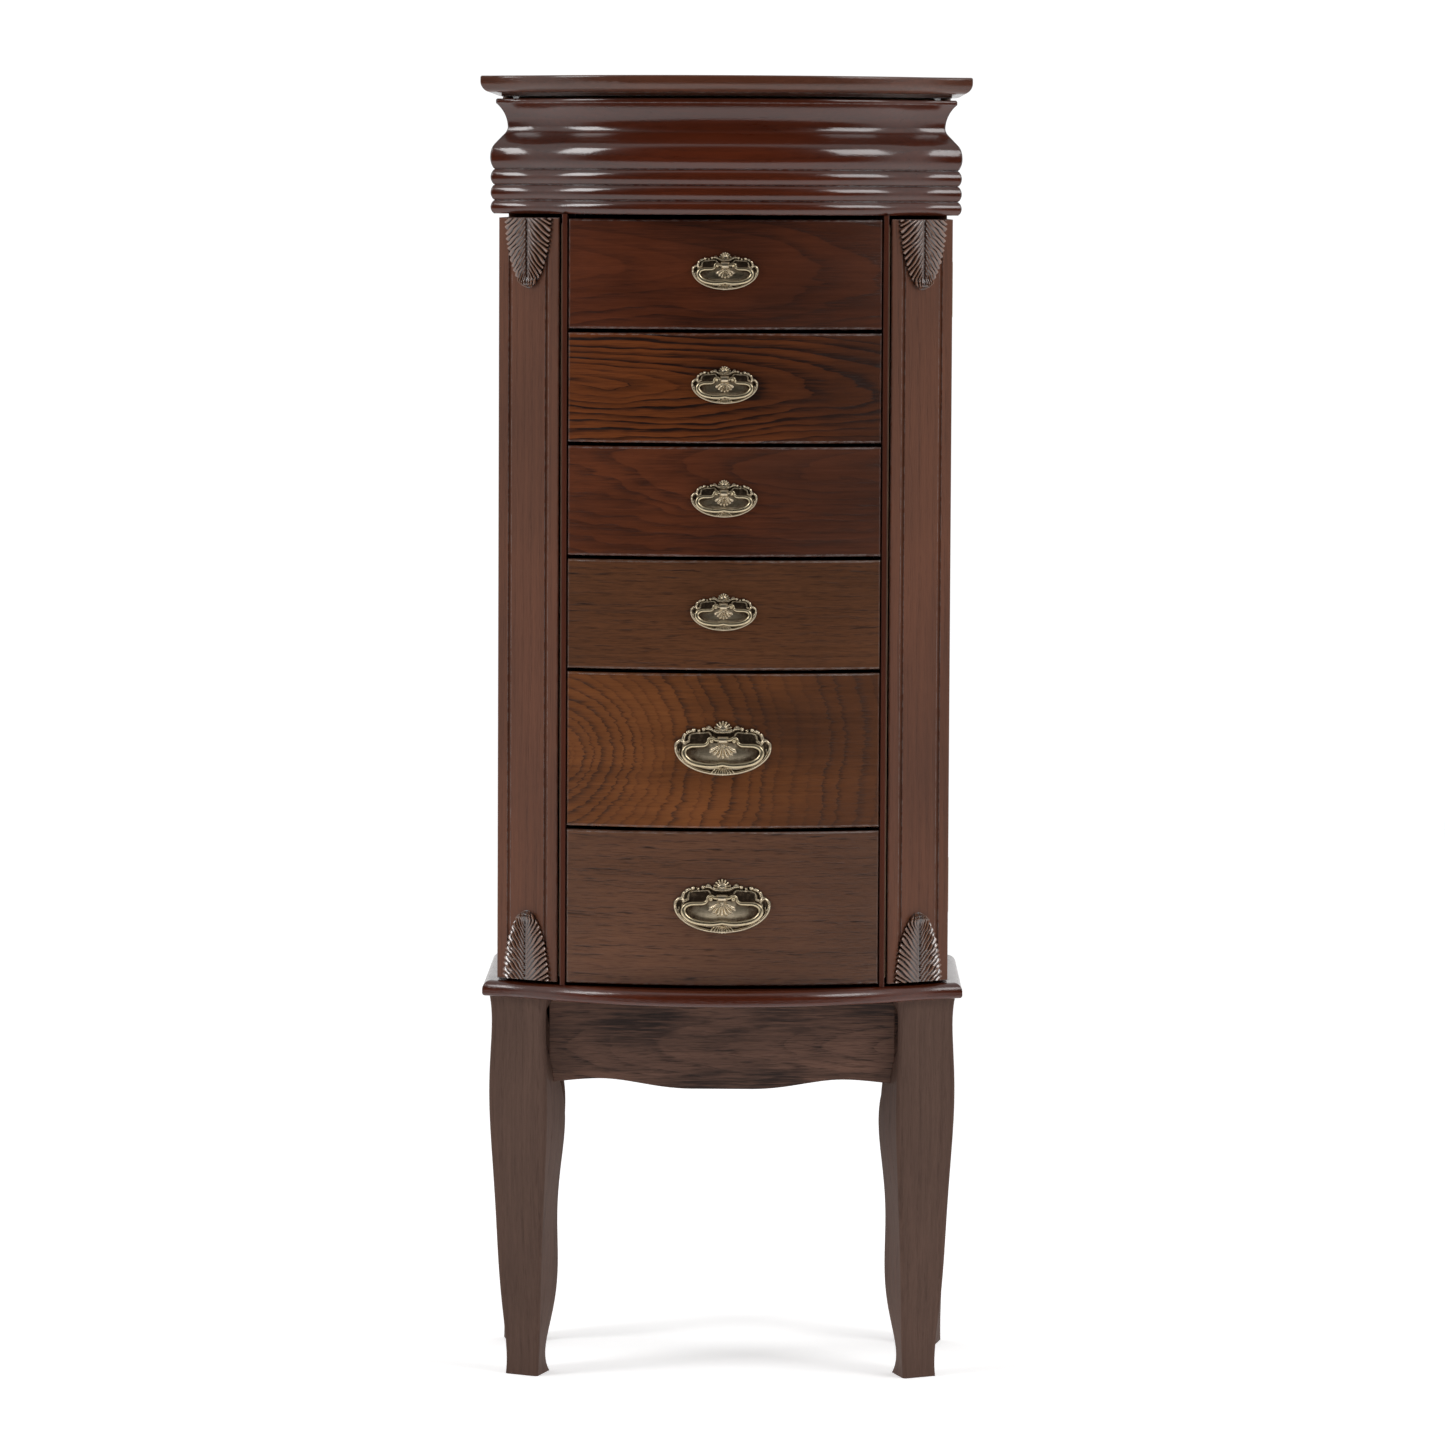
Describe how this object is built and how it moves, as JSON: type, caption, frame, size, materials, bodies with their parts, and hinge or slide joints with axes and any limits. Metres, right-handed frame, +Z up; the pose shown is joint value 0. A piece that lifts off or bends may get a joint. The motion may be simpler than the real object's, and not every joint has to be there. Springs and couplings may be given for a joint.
{
  "type": "jewelry armoire",
  "caption": "Tall bow-front jewelry chest on curved legs, with drawers on bail pulls, swing-out necklace doors, carved leaves and a mirrored lift-up lid.",
  "frame": {"origin": "on the floor, at the middle of the overall box", "axes": "+Z up, the drawers open towards -Y, +X to the right seen from the front"},
  "size_m": [0.3812, 0.29, 1.016],
  "materials": {
    "moulding_mahogany": "satin gloss lacquer over dark mahogany stain",
    "crown_mahogany": "gloss lacquer over dark mahogany stain",
    "lid_mahogany": "satin lacquer over dark mahogany stain",
    "plain_mahogany": "satin lacquer over dark mahogany stain",
    "door_mahogany": "satin lacquer over dark mahogany stain",
    "carved_mahogany": "lacquered carving with darkened hollows",
    "leg_mahogany": "satin lacquer",
    "apron_oak": "satin lacquer over stained open-grain oak",
    "drawer_oak": "satin lacquer over stained oak veneer",
    "drawer_box_wood": "thin clear sealer",
    "raw_wood": "unfinished hardwood",
    "back_panel": "matt dark stain",
    "antique_brass": "antique brass with darkened hollows",
    "hinge_brass": "satin",
    "hook_brass": "polished",
    "velvet": "short-pile velvet",
    "velvet_dividers": "boards wrapped in short-pile velvet",
    "pale_felt": "dense felt",
    "mirror_glass": "silvered glass",
    "catch_plastic": "dark brown moulded plastic"
  },
  "bodies": {
    "cabinet": {"base_board": "moulding_mahogany", "leg_front_right": "leg_mahogany", "leg_front_left": "leg_mahogany", "leg_back_right": "leg_mahogany", "leg_back_left": "leg_mahogany", "apron_front": "apron_oak", "apron_back": "apron_oak", "apron_right": "apron_oak", "apron_left": "apron_oak", "case_side_right": "plain_mahogany", "case_side_left": "plain_mahogany", "case_back": "back_panel", "case_top": "plain_mahogany", "crown_front": "crown_mahogany", "crown_right": "crown_mahogany", "crown_left": "crown_mahogany", "felt_bumpers": "pale_felt", "tray_lining": "velvet", "tray_dividers": "velvet_dividers", "ring_rolls": "velvet", "door_catches": "catch_plastic", "hinge_leaves_fixed": "hinge_brass", "hinge_pins": "hinge_brass", "drawer_runners": "raw_wood"},
    "lid": {"lid": "lid_mahogany", "lid_mirror": "mirror_glass", "hinge_leaves_lid": "hinge_brass"},
    "door_right": {"door_right": "door_mahogany", "leaves_right": "carved_mahogany", "hooks_right": "hook_brass", "hinge_leaves_right": "hinge_brass"},
    "door_left": {"door_left": "door_mahogany", "leaves_left": "carved_mahogany", "hooks_left": "hook_brass", "hinge_leaves_left": "hinge_brass"},
    "drawer_1": {"drawer_1_front": "drawer_oak", "drawer_1_box": "drawer_box_wood", "pull_1": "antique_brass"},
    "bail_1": {"bail_1": "antique_brass"},
    "drawer_2": {"drawer_2_front": "drawer_oak", "drawer_2_box": "drawer_box_wood", "pull_2": "antique_brass"},
    "bail_2": {"bail_2": "antique_brass"},
    "drawer_3": {"drawer_3_front": "drawer_oak", "drawer_3_box": "drawer_box_wood", "pull_3": "antique_brass"},
    "bail_3": {"bail_3": "antique_brass"},
    "drawer_4": {"drawer_4_front": "drawer_oak", "drawer_4_box": "drawer_box_wood", "pull_4": "antique_brass"},
    "bail_4": {"bail_4": "antique_brass"},
    "drawer_5": {"drawer_5_front": "drawer_oak", "drawer_5_box": "drawer_box_wood", "pull_5": "antique_brass"},
    "bail_5": {"bail_5": "antique_brass"},
    "drawer_6": {"drawer_6_front": "drawer_oak", "drawer_6_box": "drawer_box_wood", "pull_6": "antique_brass"},
    "bail_6": {"bail_6": "antique_brass"}
  },
  "joints": [
    {"name": "lid_hinge", "type": "hinge", "parent": "cabinet", "child": "lid", "pos_m": [0, 0.1427, 0.9994], "axis": [-1, 0, 0], "range_deg": [0, 100]},
    {"name": "door_left_hinge", "type": "hinge", "parent": "cabinet", "child": "door_left", "pos_m": [-0.1787, 0.1271, 0.61], "axis": [0, 0, -1], "range_deg": [0, 110]},
    {"name": "door_right_hinge", "type": "hinge", "parent": "cabinet", "child": "door_right", "pos_m": [0.1787, 0.1271, 0.61], "axis": [0, 0, 1], "range_deg": [0, 110]},
    {"name": "drawer_1_slide", "type": "slide", "parent": "cabinet", "child": "drawer_1", "axis": [0, -1, 0], "range_m": [0, 0.15]},
    {"name": "bail_1_swing", "type": "hinge", "parent": "drawer_1", "child": "bail_1", "pos_m": [0, -0.129, 0.87123], "axis": [-1, 0, 0], "range_deg": [0, 80]},
    {"name": "drawer_2_slide", "type": "slide", "parent": "cabinet", "child": "drawer_2", "axis": [0, -1, 0], "range_m": [0, 0.15]},
    {"name": "bail_2_swing", "type": "hinge", "parent": "drawer_2", "child": "bail_2", "pos_m": [0, -0.129, 0.78373], "axis": [-1, 0, 0], "range_deg": [0, 80]},
    {"name": "drawer_3_slide", "type": "slide", "parent": "cabinet", "child": "drawer_3", "axis": [0, -1, 0], "range_m": [0, 0.15]},
    {"name": "bail_3_swing", "type": "hinge", "parent": "drawer_3", "child": "bail_3", "pos_m": [0, -0.129, 0.69623], "axis": [-1, 0, 0], "range_deg": [0, 80]},
    {"name": "drawer_4_slide", "type": "slide", "parent": "cabinet", "child": "drawer_4", "axis": [0, -1, 0], "range_m": [0, 0.15]},
    {"name": "bail_4_swing", "type": "hinge", "parent": "drawer_4", "child": "bail_4", "pos_m": [0, -0.129, 0.60873], "axis": [-1, 0, 0], "range_deg": [0, 80]},
    {"name": "drawer_5_slide", "type": "slide", "parent": "cabinet", "child": "drawer_5", "axis": [0, -1, 0], "range_m": [0, 0.15]},
    {"name": "bail_5_swing", "type": "hinge", "parent": "drawer_5", "child": "bail_5", "pos_m": [0, -0.129, 0.50541], "axis": [-1, 0, 0], "range_deg": [0, 80]},
    {"name": "drawer_6_slide", "type": "slide", "parent": "cabinet", "child": "drawer_6", "axis": [0, -1, 0], "range_m": [0, 0.15]},
    {"name": "bail_6_swing", "type": "hinge", "parent": "drawer_6", "child": "bail_6", "pos_m": [0, -0.129, 0.38291], "axis": [-1, 0, 0], "range_deg": [0, 80]}
  ]
}
